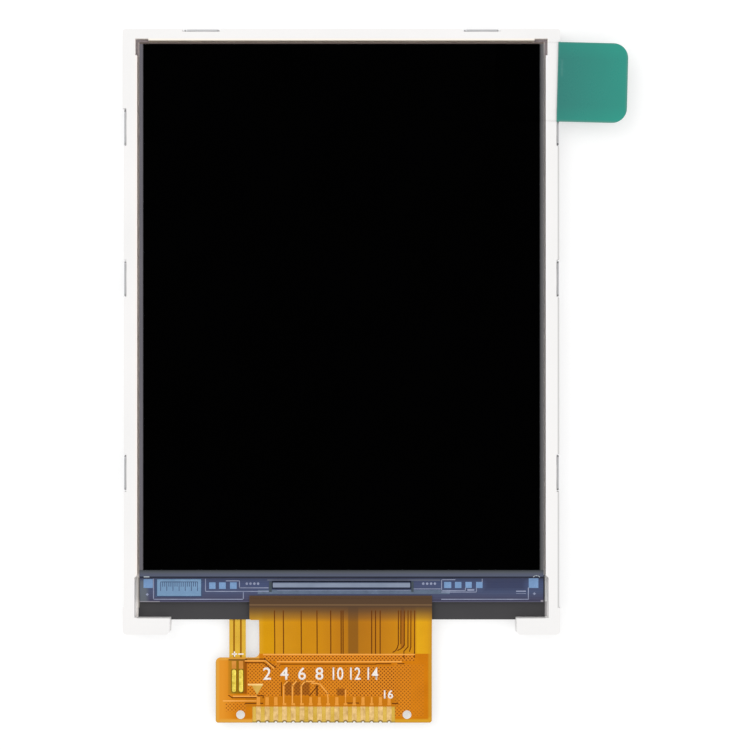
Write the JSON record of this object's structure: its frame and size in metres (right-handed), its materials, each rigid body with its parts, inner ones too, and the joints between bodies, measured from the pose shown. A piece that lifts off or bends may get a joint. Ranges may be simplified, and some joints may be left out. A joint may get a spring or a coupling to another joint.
{
  "type": "tft display module",
  "caption": "Small colour TFT panel in a white moulded frame on a folded metal tray, with a bonded amber flex tail, a backlight tail and a protective film with a pull tab.",
  "frame": {"origin": "middle of the frame's outline, on the back face of the tray", "axes": "+X to the right and +Y to the top of the screen as it is read, +Z out of the screen"},
  "size_m": [0.0577, 0.0794, 0.0025],
  "materials": {
    "tray_steel": "satin",
    "frame_plastic": "fine moulded",
    "reflector_film": "mirror-like film",
    "guide_acrylic": "clear",
    "diffuser_film": "milky film",
    "prism_film": "clear grooved film",
    "led_package": "moulded",
    "strip_flex": "polyimide film",
    "strip_tape": "adhesive film",
    "rim_tape": "adhesive film",
    "polarizer": "smooth film",
    "array_glass": "polished",
    "filter_glass": "polished",
    "bond_film": "cured film",
    "silicon": "polished back",
    "flex_base": "polyimide film over copper",
    "flex_cover": "clear amber film",
    "contact_gold": "gold plated",
    "solder": "reflowed solder",
    "clear_film": "clear film",
    "carrier_tape": "clear tape",
    "tab_film": "smooth film"
  },
  "bodies": {
    "root": {"rear_tray": "tray_steel", "frame": "frame_plastic", "reflector_sheet": "reflector_film", "light_guide": "guide_acrylic", "diffuser_sheet": "diffuser_film", "lower_prism_sheet": "prism_film", "upper_prism_sheet": "prism_film", "led_1": "led_package", "led_2": "led_package", "led_3": "led_package", "led_4": "led_package", "led_strip": "strip_flex", "led_strip_tape": "strip_tape", "rim_tape": "rim_tape", "rear_polarizer": "polarizer", "array_glass": "array_glass", "filter_glass": "filter_glass", "front_polarizer": "polarizer", "chip_bond_film": "bond_film", "driver_chip": "silicon", "flex_bond_film": "bond_film", "main_flex": "flex_base", "flex_coverlay": "flex_cover", "contact_fingers": "contact_gold", "solder_joint_anode": "solder", "solder_joint_cathode": "solder", "protective_film": "clear_film", "pull_tab_carrier": "carrier_tape", "pull_tab": "tab_film"}
  },
  "joints": []
}
